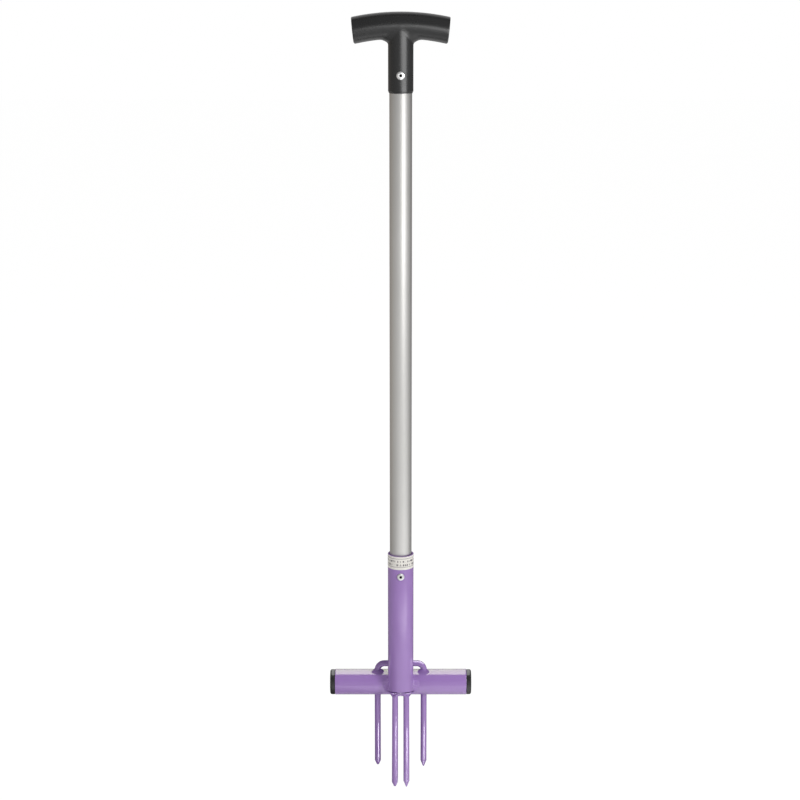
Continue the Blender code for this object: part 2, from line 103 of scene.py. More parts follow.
def powderCoatedSteel():
    # polyester powder, sprayed and baked on steel: a glossy skin with soft orange peel
    coat = dict(light="#9c78bc", deep="#936fb3", peel=2.6, grain=0.4, cloud=38.0, low=0.16, high=0.24)
    material, tree, shader, where = newMaterial("purplePowderCoat", IOR=1.5, Coat_Weight=0.6,
                                                Coat_Roughness=0.22)
    cloud = addNode(tree, "ShaderNodeTexNoise",
                    {"Vector": where, "Scale": perMetre(coat["cloud"]), "Detail": 3.0})
    tint = addNode(tree, "ShaderNodeMix",
                   {"Factor": cloud.outputs["Fac"], "A": toLinear(coat["deep"]),
                    "B": toLinear(coat["light"])}, data_type="RGBA")
    tree.links.new(tint.outputs["Result"], shader.inputs["Base Color"])
    peel = addNode(tree, "ShaderNodeTexNoise",
                   {"Vector": where, "Scale": perMetre(coat["peel"]), "Detail": 1.0, "Roughness": 0.4})
    grain = addNode(tree, "ShaderNodeTexNoise",
                    {"Vector": where, "Scale": perMetre(coat["grain"]), "Detail": 2.0})
    gloss = addNode(tree, "ShaderNodeMapRange",
                    {"Value": grain.outputs["Fac"], "From Min": 0.3, "From Max": 0.7,
                     "To Min": coat["low"], "To Max": coat["high"]})
    tree.links.new(gloss.outputs["Result"], shader.inputs["Roughness"])
    fine = addNode(tree, "ShaderNodeBump",
                   {"Height": grain.outputs["Fac"], "Strength": 0.12, "Distance": 0.02 * mm})
    skin = addNode(tree, "ShaderNodeBump",
                   {"Height": peel.outputs["Fac"], "Strength": 0.5, "Distance": 0.05 * mm,
                    "Normal": fine.outputs["Normal"]})
    tree.links.new(skin.outputs["Normal"], shader.inputs["Normal"])
    return material


def anodisedAluminium():
    # drawn tube, etched and clear anodised: satin grey with faint lines along its length
    tube = dict(light="#d9d8d6", deep="#cfcecb", line=0.35, run=160.0, cloud=60.0, low=0.40, high=0.48)
    material, tree, shader, where = newMaterial("satinAnodisedAluminium", Metallic=1.0)
    stretch = addNode(tree, "ShaderNodeMapping",
                      {"Vector": where, "Scale": (perMetre(tube["line"]), perMetre(tube["line"]),
                                                  perMetre(tube["run"]))})
    lines = addNode(tree, "ShaderNodeTexNoise",
                    {"Vector": stretch.outputs["Vector"], "Scale": 1.0, "Detail": 3.0, "Roughness": 0.6})
    cloud = addNode(tree, "ShaderNodeTexNoise",
                    {"Vector": where, "Scale": perMetre(tube["cloud"]), "Detail": 2.0})
    tint = addNode(tree, "ShaderNodeMix",
                   {"Factor": cloud.outputs["Fac"], "A": toLinear(tube["deep"]),
                    "B": toLinear(tube["light"])}, data_type="RGBA")
    tree.links.new(tint.outputs["Result"], shader.inputs["Base Color"])
    gloss = addNode(tree, "ShaderNodeMapRange",
                    {"Value": lines.outputs["Fac"], "From Min": 0.3, "From Max": 0.7,
                     "To Min": tube["low"], "To Max": tube["high"]})
    tree.links.new(gloss.outputs["Result"], shader.inputs["Roughness"])
    drawn = addNode(tree, "ShaderNodeBump",
                    {"Height": lines.outputs["Fac"], "Strength": 0.25, "Distance": 0.01 * mm})
    tree.links.new(drawn.outputs["Normal"], shader.inputs["Normal"])
    return material


def mouldedPolypropylene():
    # carbon-black PP from a spark-eroded mould: soft sheen over a fine, even grain
    moulding = dict(light="#1a1a1b", deep="#141415", grain=0.45, flow=30.0, low=0.25, high=0.33)
    material, tree, shader, where = newMaterial("blackPolypropylene", IOR=1.53)
    flow = addNode(tree, "ShaderNodeTexNoise",
                   {"Vector": where, "Scale": perMetre(moulding["flow"]), "Detail": 3.0})
    tint = addNode(tree, "ShaderNodeMix",
                   {"Factor": flow.outputs["Fac"], "A": toLinear(moulding["deep"]),
                    "B": toLinear(moulding["light"])}, data_type="RGBA")
    tree.links.new(tint.outputs["Result"], shader.inputs["Base Color"])
    grain = addNode(tree, "ShaderNodeTexNoise",
                    {"Vector": where, "Scale": perMetre(moulding["grain"]), "Detail": 3.0, "Roughness": 0.6})
    gloss = addNode(tree, "ShaderNodeMapRange",
                    {"Value": flow.outputs["Fac"], "From Min": 0.3, "From Max": 0.7,
                     "To Min": moulding["low"], "To Max": moulding["high"]})
    tree.links.new(gloss.outputs["Result"], shader.inputs["Roughness"])
    skin = addNode(tree, "ShaderNodeBump",
                   {"Height": grain.outputs["Fac"], "Strength": 0.3, "Distance": 0.04 * mm})
    tree.links.new(skin.outputs["Normal"], shader.inputs["Normal"])
    return material


def mouldedPolyethylene():
    # black LDPE from a polished mould: smooth and waxy, a little cloudy
    moulding = dict(light="#262627", deep="#1c1c1d", flow=9.0, low=0.24, high=0.34)
    material, tree, shader, where = newMaterial("blackPolyethylene", IOR=1.51)
    flow = addNode(tree, "ShaderNodeTexNoise",
                   {"Vector": where, "Scale": perMetre(moulding["flow"]), "Detail": 4.0})
    tint = addNode(tree, "ShaderNodeMix",
                   {"Factor": flow.outputs["Fac"], "A": toLinear(moulding["deep"]),
                    "B": toLinear(moulding["light"])}, data_type="RGBA")
    tree.links.new(tint.outputs["Result"], shader.inputs["Base Color"])
    gloss = addNode(tree, "ShaderNodeMapRange",
                    {"Value": flow.outputs["Fac"], "From Min": 0.3, "From Max": 0.7,
                     "To Min": moulding["low"], "To Max": moulding["high"]})
    tree.links.new(gloss.outputs["Result"], shader.inputs["Roughness"])
    skin = addNode(tree, "ShaderNodeBump",
                   {"Height": flow.outputs["Fac"], "Strength": 0.2, "Distance": 0.05 * mm})
    tree.links.new(skin.outputs["Normal"], shader.inputs["Normal"])
    return material


def rivetAluminium():
    # headed aluminium wire, bright from the setting tool, with fine scuffs
    head = dict(light="#ececec", deep="#dcdcdc", scuff=0.6, low=0.26, high=0.40)
    material, tree, shader, where = newMaterial("setRivetAluminium", Metallic=1.0)
    scuff = addNode(tree, "ShaderNodeTexNoise",
                    {"Vector": where, "Scale": perMetre(head["scuff"]), "Detail": 4.0, "Roughness": 0.65})
    tint = addNode(tree, "ShaderNodeMix",
                   {"Factor": scuff.outputs["Fac"], "A": toLinear(head["deep"]),
                    "B": toLinear(head["light"])}, data_type="RGBA")
    tree.links.new(tint.outputs["Result"], shader.inputs["Base Color"])
    gloss = addNode(tree, "ShaderNodeMapRange",
                    {"Value": scuff.outputs["Fac"], "From Min": 0.3, "From Max": 0.7,
                     "To Min": head["low"], "To Max": head["high"]})
    tree.links.new(gloss.outputs["Result"], shader.inputs["Roughness"])
    skin = addNode(tree, "ShaderNodeBump",
                   {"Height": scuff.outputs["Fac"], "Strength": 0.15, "Distance": 0.02 * mm})
    tree.links.new(skin.outputs["Normal"], shader.inputs["Normal"])
    return material


def mandrelSteelPaintedShade():
    # phosphated mandrel steel, snapped: dull and nearly black, partly its own dark tone and partly painted shade
    # for the shade down in its hole
    stub = dict(light="#141312", deep="#080807", grain=0.25)
    material, tree, shader, where = newMaterial("mandrelSteelWithPaintedShade", Roughness=0.8, Specular_IOR_Level=0.15)
    grain = addNode(tree, "ShaderNodeTexNoise",
                    {"Vector": where, "Scale": perMetre(stub["grain"]), "Detail": 3.0})
    tint = addNode(tree, "ShaderNodeMix",
                   {"Factor": grain.outputs["Fac"], "A": toLinear(stub["deep"]),
                    "B": toLinear(stub["light"])}, data_type="RGBA")
    tree.links.new(tint.outputs["Result"], shader.inputs["Base Color"])
    skin = addNode(tree, "ShaderNodeBump",
                   {"Height": grain.outputs["Fac"], "Strength": 0.6, "Distance": 0.1 * mm})
    tree.links.new(skin.outputs["Normal"], shader.inputs["Normal"])
    return material


def labelVinyl():
    # printed self-adhesive vinyl: off-white, with thin grey rules and two rows of plain ticks that
    # say nothing
    print_ = dict(paper="#e9e6e1", aged="#dedad3", ink="#6d686c", fibre=1.2, tick=1.1, tall=9.0, share=0.52,
                  rules=((14.6, 0.5), (3.5, 0.5)), rows=((11.0, 2.4), (6.2, 2.6)))
    material, tree, shader, where = newMaterial("paleLabelVinyl", Roughness=0.42, IOR=1.5)
    fibre = addNode(tree, "ShaderNodeTexNoise",
                    {"Vector": where, "Scale": perMetre(print_["fibre"]), "Detail": 4.0})
    paper = addNode(tree, "ShaderNodeMix",
                    {"Factor": fibre.outputs["Fac"], "A": toLinear(print_["aged"]),
                     "B": toLinear(print_["paper"])}, data_type="RGBA")
    # each rule and row of ticks runs round at one height above the label's lower edge
    height = addNode(tree, "ShaderNodeSeparateXYZ", {"Vector": where}).outputs["Z"]
    stretch = addNode(tree, "ShaderNodeMapping",
                      {"Vector": where, "Scale": (perMetre(print_["tick"]), perMetre(print_["tick"]),
                                                  perMetre(print_["tall"]))})
    broken = addNode(tree, "ShaderNodeTexNoise",
                     {"Vector": stretch.outputs["Vector"], "Scale": 1.0, "Detail": 0.0})
    ticks = addNode(tree, "ShaderNodeMath", {0: broken.outputs["Fac"], 1: print_["share"]},
                    operation="GREATER_THAN")
    inked = 0.0
    for lines, pattern in ((print_["rules"], 1.0), (print_["rows"], ticks.outputs[0])):
        for level, width in lines:
            line = addNode(tree, "ShaderNodeMath", {0: height, 1: labelLow.z + level * mm, 2: width * mm / 2},
                           operation="COMPARE")
            inked = addNode(tree, "ShaderNodeMath", {0: line.outputs[0], 1: pattern, 2: inked},
                            operation="MULTIPLY_ADD").outputs[0]
    ink = addNode(tree, "ShaderNodeMix",
                  {"Factor": inked, "A": paper.outputs["Result"], "B": toLinear(print_["ink"])},
                  data_type="RGBA")
    tree.links.new(ink.outputs["Result"], shader.inputs["Base Color"])
    skin = addNode(tree, "ShaderNodeBump",
                   {"Height": fibre.outputs["Fac"], "Strength": 0.2, "Distance": 0.03 * mm})
    tree.links.new(skin.outputs["Normal"], shader.inputs["Normal"])
    return material


powderCoat = powderCoatedSteel()
satinAluminium = anodisedAluminium()
handlePlastic = mouldedPolypropylene()
capPlastic = mouldedPolyethylene()
rivetMetal = rivetAluminium()
mandrelPaintedShade = mandrelSteelPaintedShade()
vinyl = labelVinyl()
print("materials ready")


def turn(bm, profile, centre, axis, steps=128, closed=True):
    # spins (radius, height) points about an axis through centre
    out = axis.orthogonal().normalized()
    points = [bm.verts.new(centre + out * radius + axis * height) for radius, height in profile]
    edges = [bm.edges.new(pair) for pair in zip(points, points[1:])]
    if closed:
        edges.append(bm.edges.new((points[-1], points[0])))
    bmesh.ops.spin(bm, geom=points + edges, cent=centre, axis=axis, angle=math.tau, steps=steps,
                   use_merge=True)
    closeUp(bm)


def closeUp(bm):
    bmesh.ops.remove_doubles(bm, verts=bm.verts, dist=0.002 * mm)
    bmesh.ops.recalc_face_normals(bm, faces=bm.faces)


def quarter(centre, reach, start, steps):
    # points on a quarter of an ellipse, anticlockwise from start degrees
    angles = [math.radians(start + 90 * i / steps) for i in range(steps + 1)]
    return [(centre[0] + reach[0] * math.cos(a), centre[1] + reach[1] * math.sin(a)) for a in angles]


def softenEdges(bm, width, segments=3, above=40):
    sharp = [e for e in bm.edges if e.is_manifold and e.calc_face_angle() > math.radians(above)]
    bmesh.ops.bevel(bm, geom=sharp, offset=width, offset_type="OFFSET", affect="EDGES", segments=segments,
                    profile=0.5, material=-1, clamp_overlap=True)


def runModifiers(bm, *steps):
    # lends the mesh to a scratch object, runs modifiers on it and takes it back
    mesh = bpy.data.meshes.new("scratch")
    bm.to_mesh(mesh)
    bm.clear()
    scratch = bpy.data.objects.new("scratch", mesh)
    bpy.context.scene.collection.objects.link(scratch)
    for kind, settings in steps:
        modifier = scratch.modifiers.new(kind, kind)
        for name, value in settings.items():
            setattr(modifier, name, value)
    graph = bpy.context.evaluated_depsgraph_get()
    bm.from_mesh(scratch.evaluated_get(graph).to_mesh())
    bpy.data.objects.remove(scratch)


def cutAway(bm, cutter):
    # takes the cutter's shape out of the mesh
    mesh = bpy.data.meshes.new("cutter")
    cutter.to_mesh(mesh)
    cutter.free()
    tool = bpy.data.objects.new("cutter", mesh)
    bpy.context.scene.collection.objects.link(tool)
    runModifiers(bm, ("BOOLEAN", dict(operation="DIFFERENCE", solver="EXACT", object=tool)))
    bpy.data.objects.remove(tool)


def ringOf(geometry):
    # the verts of a new ring, and the edges that run round it
    verts = {g for g in geometry if isinstance(g, bmesh.types.BMVert)}
    edges = [g for g in geometry if isinstance(g, bmesh.types.BMEdge) and verts.issuperset(g.verts)]
    return list(verts), edges


def extendRing(bm, ring, shift=Vector(), scale=1.0, centre=None):
    # extrudes a ring of edges, then scales it about centre in its own plane and shifts it
    grown = bmesh.ops.extrude_edge_only(bm, edges=ring)["geom"]
    verts, edges = ringOf(grown)
    if scale != 1.0:
        for vert in verts:
            vert.co = centre + (vert.co - centre) * scale
    bmesh.ops.translate(bm, verts=verts, vec=shift)
    return edges


def makePiece(name, bm, material, slotName, *nodes, crease=38):
    closeUp(bm)
    mesh = bpy.data.meshes.new(name)
    bm.to_mesh(mesh)
    bm.free()
    mesh.materials.append(material)
    mesh.shade_smooth()
    mesh.set_sharp_from_angle(angle=math.radians(crease))
    piece = bpy.data.objects.new(name, mesh)
    bpy.context.scene.collection.objects.link(piece)
    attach(piece, "root")
    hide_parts(*nodes)
    print(name, len(mesh.polygons), "faces")
    return piece


# the lip's wall and height size a thin black ring below the neck, painted shade for the shade under the neck's
# edge
handle = dict(neckRadius=15.5 * mm, bendRadius=270 * mm, halfLength=58.8 * mm, endTilt=math.radians(5.99),
              edgeRadius=1.2 * mm, filletReach=7.8 * mm, filletDrop=4.5 * mm, filletLeast=0.1, filletEase=0.4,
              voxel=0.75 * mm, rootEdge=0.7 * mm, rootRise=1.0 * mm, shadeLipWall=0.4 * mm, lip=1.4 * mm,
              boreDepth=12 * mm, boreGap=0.25 * mm, rimStart=2.5 * mm, partingHalf=0.4 * mm,
              partingDepth=0.13 * mm)
gripRadius = (handleHigh.y - handleLow.y) / 2
gripZ = handleHigh.z - gripRadius
bendZ = gripZ - handle["bendRadius"]
endAngle = math.asin(handle["halfLength"] / handle["bendRadius"])
endZ = bendZ + handle["bendRadius"] * math.cos(endAngle)


def handleDistance(points):
    # signed distance to the moulding, negative inside, without the end of its neck
    x, y, z = points[:, 0], points[:, 1] - shaftY, points[:, 2]
    rise = z - bendZ
    sweep = np.hypot(x, rise)
    off = np.hypot(sweep - handle["bendRadius"], y)
    side = off - gripRadius + handle["edgeRadius"]
    lean = handle["endTilt"]
    end = (np.abs(x) - handle["halfLength"]) * math.cos(lean) - (z - endZ) * math.sin(lean)
    end += handle["edgeRadius"]
    grip = np.minimum(np.maximum(side, end), 0) - handle["edgeRadius"]
    grip += np.hypot(np.maximum(side, 0), np.maximum(end, 0))
    reach = np.hypot(x, y)
    neck = np.maximum(reach - handle["neckRadius"], z - gripZ)
    # the fillet is full where the two surfaces meet square, and small where they run the same way
    alike = (sweep - handle["bendRadius"]) / off * x / sweep * x / reach + y / off * y / reach
    share = np.clip(1 - alike, handle["filletLeast"], 1)
    grip /= handle["filletDrop"] * share
    neck /= handle["filletReach"] * share
    flat = (grip + neck - 1) / math.sqrt(2)
    blend = []
    for surface in (grip, neck):
        overlap = np.maximum(handle["filletEase"] - np.abs(surface - flat), 0)
        blend.append(np.minimum(surface, flat) - overlap ** 2 / (4 * handle["filletEase"]))
    return np.minimum(*blend) * handle["filletDrop"] * share


def settleOn(bm, distance, passes=4, step=0.05 * mm):
    # slides every vertex along the slope of a distance until it lies on the zero surface
    points = np.array([v.co for v in bm.verts])
    for _ in range(passes):
        slope = np.stack([(distance(points + d) - distance(points - d)) / (2 * step)
                          for d in np.eye(3) * step], 1)
        points -= slope * (distance(points) / np.maximum((slope ** 2).sum(1), 0.1))[:, None]
    for vert, point in zip(bm.verts, points):
        vert.co = point


def makeHandle():
    bm = bmesh.new()
    # the grip as a bent bar and the neck as a round post, then one skin over both
    start = Matrix.Rotation(-endAngle, 4, "Y")
    centre = Vector((0, shaftY, bendZ))
    place = Matrix.Translation(centre) @ start @ Matrix.Translation(zAxis * handle["bendRadius"])
    ring = bmesh.ops.create_circle(bm, cap_ends=True, radius=gripRadius, segments=96,
                                   matrix=place @ Matrix.Rotation(math.pi / 2, 4, "Y"))["verts"]
    faces = list({f for v in ring for f in v.link_faces})
    bmesh.ops.spin(bm, geom=faces + ring + list({e for v in ring for e in v.link_edges}), cent=centre,
                   axis=yAxis, angle=2 * endAngle, steps=48)
    turn(bm, [(0, gripZ), (handle["neckRadius"], gripZ), (handle["neckRadius"], handleLow.z - 3 * mm),
              (0, handleLow.z - 3 * mm)], shaftAxis, zAxis, 96, closed=False)
    runModifiers(bm, ("REMESH", dict(mode="VOXEL", voxel_size=handle["voxel"])))
    settleOn(bm, handleDistance)
    # where the mould's halves met: a fine groove round the middle plane
    for offset in (-handle["partingHalf"], 0, handle["partingHalf"]):
        bmesh.ops.bisect_plane(bm, geom=bm.verts[:] + bm.edges[:] + bm.faces[:], dist=0.0001 * mm,
                               plane_co=shaftAxis + yAxis * offset, plane_no=yAxis)
    bm.normal_update()
    for vert in bm.verts:
        if abs(vert.co.y - shaftY) < 0.001 * mm:
            vert.co -= vert.normal * handle["partingDepth"]
    # the neck's end: a rounded edge, and the bore that takes the shaft
    cut = bmesh.ops.bisect_plane(bm, geom=bm.verts[:] + bm.edges[:] + bm.faces[:], dist=0.0001 * mm,
                                 plane_co=zAxis * (handleLow.z + handle["rimStart"]), plane_no=zAxis,
                                 clear_inner=True)["geom_cut"]
    ring = [g for g in cut if isinstance(g, bmesh.types.BMEdge)]
    bore = shaftRadius + handle["boreGap"]
    edge, rise = handle["rootEdge"], handle["rootRise"]
    rim = quarter((handle["neckRadius"] - edge, handleLow.z + rise), (edge, -rise), 0, 5)
    # a thin black lip hugs the shaft below the neck: painted shade, standing for the shade under the neck's edge
    lip, shadeLipLow = bore + handle["shadeLipWall"], handleLow.z - handle["lip"]
    rim += [(lip, handleLow.z), (lip, shadeLipLow), (bore, shadeLipLow), (bore, handleLow.z + handle["boreDepth"])]
    radius, level = handle["neckRadius"], handleLow.z + handle["rimStart"]
    for nextRadius, nextLevel in rim:
        ring = extendRing(bm, ring, zAxis * (nextLevel - level), nextRadius / radius,
                          shaftAxis + zAxis * level)
        radius, level = nextRadius, nextLevel
    bmesh.ops.edgeloop_fill(bm, edges=ring)
    return makePiece("tHandle", bm, handlePlastic, "handle_plastic", "t_handle")


tHandle = makeHandle()

shaft = dict(wall=1.6 * mm, endEase=0.4 * mm)


def makeShaft():
    bm = bmesh.new()
    inner = shaftRadius - shaft["wall"]
    turn(bm, [(shaftRadius, shaftLow.z), (shaftRadius, shaftHigh.z), (inner, shaftHigh.z),
              (inner, shaftLow.z)], shaftAxis, zAxis)
    softenEdges(bm, shaft["endEase"])
    return makePiece("shaftTube", bm, satinAluminium, "shaft_aluminium", "shaft_tube")


shaftTube = makeShaft()

socket = dict(wall=2.3 * mm, rimEase=0.7 * mm, sink=0.3 * mm, lipRake=math.radians(11.5))


def makeSocket():
    bm = bmesh.new()
    inner = socketRadius - socket["wall"]
    turn(bm, [(socketRadius, socketLow.z), (socketRadius, socketHigh.z), (inner, socketHigh.z),
              (inner, socketLow.z)], shaftAxis, zAxis)
    softenEdges(bm, socket["rimEase"])
    # the lower end is cut a little off square, higher in front
    front = shaftY - socketRadius
    for vert in bm.verts:
        if vert.co.z < (socketLow.z + socketHigh.z) / 2:
            vert.co.z -= (vert.co.y - front) * math.tan(socket["lipRake"])
    saddle = bmesh.new()
    turn(saddle, [(0, -2 * socketRadius), (barRadius - socket["sink"], -2 * socketRadius),
                  (barRadius - socket["sink"], 2 * socketRadius), (0, 2 * socketRadius)], barCentre, xAxis,
         160, closed=False)
    cutAway(bm, saddle)
    return makePiece("socketTube", bm, powderCoat, "powder_coat", "socket")


socketTube = makeSocket()

label = dict(thickness=0.22 * mm, cover=1.06, seamLift=0.12 * mm, steps=160, rows=6, rise=2.6 * mm)


def makeLabel():
    bm = bmesh.new()
    bmesh.ops.create_grid(bm, x_segments=label["steps"], y_segments=label["rows"], size=1.0)
    half = (labelHigh.z - labelLow.z + label["rise"]) / 2
    for vert in bm.verts:
        # wrapped from the back, and past its own start by a little
        along, up = vert.co.x * label["cover"] * math.pi, vert.co.y * half
        over = max(0.0, vert.co.x - (2 / label["cover"] - 1)) * label["cover"] * math.pi
        radius = socketRadius + label["thickness"] / 2
        radius += min(over * 4, 1.0) * (label["thickness"] + label["seamLift"])
        vert.co = (radius * math.sin(along), shaftY - radius * math.cos(along), labelLow.z + half + up)
    bmesh.ops.recalc_face_normals(bm, faces=bm.faces)
    bmesh.ops.solidify(bm, geom=bm.faces[:], thickness=label["thickness"])
    return makePiece("socketLabel", bm, vinyl, "label_vinyl", "socket_label")


makeLabel()

bar = dict(wall=2.0 * mm, endEase=0.6 * mm)


def makeFootBar():
    bm = bmesh.new()
    inner = barRadius - bar["wall"]
    turn(bm, [(barRadius, barLow.x), (barRadius, barHigh.x), (inner, barHigh.x), (inner, barLow.x)],
         Vector((0, barCentre.y, barCentre.z)), xAxis)
    softenEdges(bm, bar["endEase"])
    return makePiece("footBar", bm, powderCoat, "powder_coat", "foot_bar")


footBar = makeFootBar()

cap = dict(flange=6.2 * mm, edge=2.6 * mm, plug=10.0 * mm, dish=0.5 * mm, dishRadius=9.5 * mm, gate=1.4 * mm,
           gateRise=0.3 * mm, plugGap=0.1 * mm, step=0.4 * mm, chamfer=0.3 * mm)


def makeEndCap(name, side):
    low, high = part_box(name + "_end_cap")
    face = max(abs(low.x), abs(high.x))
    seat = face - cap["flange"]
    radius = (high.z - low.z) / 2 - cap["step"]
    plugRadius = barRadius - bar["wall"] - cap["plugGap"]
    floor = face - cap["dish"]
    profile = [(0, floor + cap["gateRise"]), (cap["gate"] * 0.8, floor + cap["gateRise"]),
               (cap["gate"], floor)]
    profile += [(cap["dishRadius"], floor), (cap["dishRadius"] + 2 * cap["dish"], face)]
    profile += quarter((radius - cap["edge"], face - cap["edge"]), (cap["edge"], cap["edge"]), 0, 8)[::-1]
    profile += [(radius, seat + cap["chamfer"]), (radius - cap["chamfer"], seat), (plugRadius, seat)]
    profile += [(plugRadius, seat - cap["plug"]), (0, seat - cap["plug"])]
    bm = bmesh.new()
    turn(bm, profile, Vector((0, barCentre.y, barCentre.z)), xAxis * side, 96, closed=False)
    return makePiece(name + "EndCap", bm, capPlastic, "cap_plastic", name + "_end_cap", crease=30)


endCaps = [makeEndCap(sideName, sideSign) for sideName, sideSign in sides]

rivet = dict(crown=2.4 * mm, rim=0.35 * mm, sink=0.9 * mm, bore=1.75 * mm, lip=0.12 * mm, depth=3.0 * mm,
             mandrelRadius=1.7 * mm, mandrelRecess=0.6 * mm, snap=0.15 * mm, taper=0.15 * mm, shank=0.6 * mm,
             handleSpread=0.6 * mm, socketSpread=0)


def makeRivet(place, seatRadius, spread):
    low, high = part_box(place + "_rivet_body")
    centre = Vector((0, 0, (low.z + high.z) / 2))
    headRadius = (high.z - low.z) / 2 + spread
    out = -yAxis
    top = -low.y
    seat = -shaftY + seatRadius
    edge = seat + rivet["rim"]
    profile = [(headRadius - rivet["taper"], seat - rivet["sink"]), (headRadius, seat), (headRadius, edge)]
    profile += quarter((rivet["crown"], edge), (headRadius - rivet["crown"], top - edge), 0, 10)[1:]
    profile += [(rivet["bore"] + rivet["lip"], top), (rivet["bore"], top - rivet["lip"])]
    profile += [(rivet["bore"], seat - rivet["depth"]), (headRadius - rivet["shank"], seat - rivet["depth"])]
    bm = bmesh.new()
    turn(bm, profile, centre, out, 64)
    body = makePiece(place + "RivetBody", bm, rivetMetal, "rivet_aluminium", place + "_rivet_body")
    end = top - rivet["mandrelRecess"]
    stub = [(0, end + rivet["snap"]), (rivet["mandrelRadius"] * 0.55, end + 0.2 * rivet["snap"]),
            (rivet["mandrelRadius"], end - rivet["snap"]), (rivet["mandrelRadius"], seat - rivet["depth"]),
            (0, seat - rivet["depth"])]
    bm = bmesh.new()
    turn(bm, stub, centre, out, 32, closed=False)
    # the mandrel's near-black, low-shine steel is partly painted shade for the shade in the rivet's hole
    makePiece(place + "RivetMandrel", bm, mandrelPaintedShade, "mandrel_steel", place + "_rivet_mandrel")
    return body


# the handle's rivet, set in plastic, is squeezed wider than the one set in steel
rivets = [makeRivet("handle", handle["neckRadius"], rivet["handleSpread"]),
          makeRivet("socket", socketRadius, rivet["socketSpread"])]

tine = dict(sides=40, bendSteps=16, pointSteps=10, leftPoint=6.2 * mm, leftNose=1.5 * mm, rightPoint=8.6 * mm,
            rightNose=0.75 * mm, stapleBend=9.0 * mm, pinch=0.4, pinchFrom=125.5 * mm, pinchTo=134.5 * mm,
            stapleDrops=(1.3 * mm, -1.2 * mm), hairpinDrops=(0.7 * mm, 0.0))


def pointRing(bm, ring, tip, direction, side):
    # draws a ring out to a ground point with a rounded nose, ending at tip along direction
    length = tine[side + "Point"]
    nose = tine[side + "Nose"]
    at, radius = -length, rodRadius
    steps = [(-nose, nose * 1.25)]
    steps += [(-nose * (1 - math.sin(a)), nose * 1.25 * math.cos(a))
              for a in (math.pi / 2 * i / tine["pointSteps"] for i in range(1, tine["pointSteps"]))]
    for position, nextRadius in steps:
        ring = extendRing(bm, ring, direction * (position - at), nextRadius / radius, tip + direction * at)
        at, radius = position, nextRadius
    bmesh.ops.edgeloop_fill(bm, edges=ring)


def makeTineRod(name, nodeName, low, high, bendRadius, tipDrops, pinch=0):
    # one bar, bent over the top, with a leg and a ground point at each end
    bm = bmesh.new()
    y = (low.y + high.y) / 2
    legX = high.x - rodRadius
    bendZ = high.z - rodRadius - bendRadius
    # the right leg grows upwards from a ring, and the bends and the left leg follow from it
    ring = bmesh.ops.create_circle(bm, cap_ends=False, radius=rodRadius, segments=tine["sides"],
                                   matrix=Matrix.Translation((legX, y, bendZ)))["verts"]
    first = list({e for v in ring for e in v.link_edges})
    bent = bmesh.ops.spin(bm, geom=ring + first, cent=(legX - bendRadius, y, bendZ), axis=-yAxis,
                          angle=math.pi / 2, steps=tine["bendSteps"])["geom_last"]
    verts, edges = ringOf(bent)
    if legX - bendRadius > rodRadius / 10:
        edges = extendRing(bm, edges, -xAxis * 2 * (legX - bendRadius))
        verts = list({v for e in edges for v in e.verts})
    bent = bmesh.ops.spin(bm, geom=verts + edges, cent=(bendRadius - legX, y, bendZ), axis=-yAxis,
                          angle=math.pi / 2, steps=tine["bendSteps"])["geom_last"]
    verts, last = ringOf(bent)
    for edges, x, side, drop in ((first, legX, "right", tipDrops[1]), (last, -legX, "left", tipDrops[0])):
        tip = Vector((x, y, low.z + drop))
        edges = extendRing(bm, edges, -zAxis * (bendZ - tip.z - tine[side + "Point"]))
        pointRing(bm, edges, tip, -zAxis, side)
    # the hairpin's legs lean together as they go in under the lip
    for vert in bm.verts:
        share = min(max((vert.co.z - tine["pinchFrom"]) / (tine["pinchTo"] - tine["pinchFrom"]), 0), 1)
        vert.co.x *= 1 - pinch * share ** 2 * (3 - 2 * share)
    return makePiece(name, bm, powderCoat, "powder_coat", nodeName)


tines = [makeTineRod("outerTineStaple", "outer_tine_staple", stapleLow, stapleHigh, tine["stapleBend"],
                     tine["stapleDrops"]),
         makeTineRod("innerTineHairpin", "inner_tine_hairpin", hairpinLow, hairpinHigh,
                     hairpinHigh.x - rodRadius, tine["hairpinDrops"], tine["pinch"])]


def loft(bm, rings, joined):
    # carries a ring of points through a row of shapes, then joins last to first or fills both ends
    verts = [bm.verts.new(point) for point in rings[0]]
    first = edges = [bm.edges.new(pair) for pair in zip(verts, verts[1:] + verts[:1])]
    for ring in rings[1:]:
        fresh, edges = ringOf(bmesh.ops.extrude_edge_only(bm, edges=edges)["geom"])
        fresh = set(fresh)
        verts = [next(e.other_vert(v) for e in v.link_edges if e.other_vert(v) in fresh) for v in verts]
        for vert, point in zip(verts, ring):
            vert.co = point
    if joined:
        bmesh.ops.bridge_loops(bm, edges=first + edges)
    else:
        for end in (first, edges):
            bmesh.ops.edgeloop_fill(bm, edges=end)


def barTop(y):
    return barCentre.z + math.sqrt(barRadius ** 2 - (y - barCentre.y) ** 2)


# each collar leans forward of its leg, and its toe runs further on some sides than on others
collar = dict(sides=96, steps=10, height=2.6 * mm, lean=6.8 * mm, leftTip=4.0 * mm, rightTip=2.8 * mm,
              outer=1.2 * mm, inner=5.2 * mm, front=1.2 * mm, back=7.2 * mm, sharp=8, bite=0.1 * mm,
              sink=1.0 * mm, ripple=0.07, ripples=11)


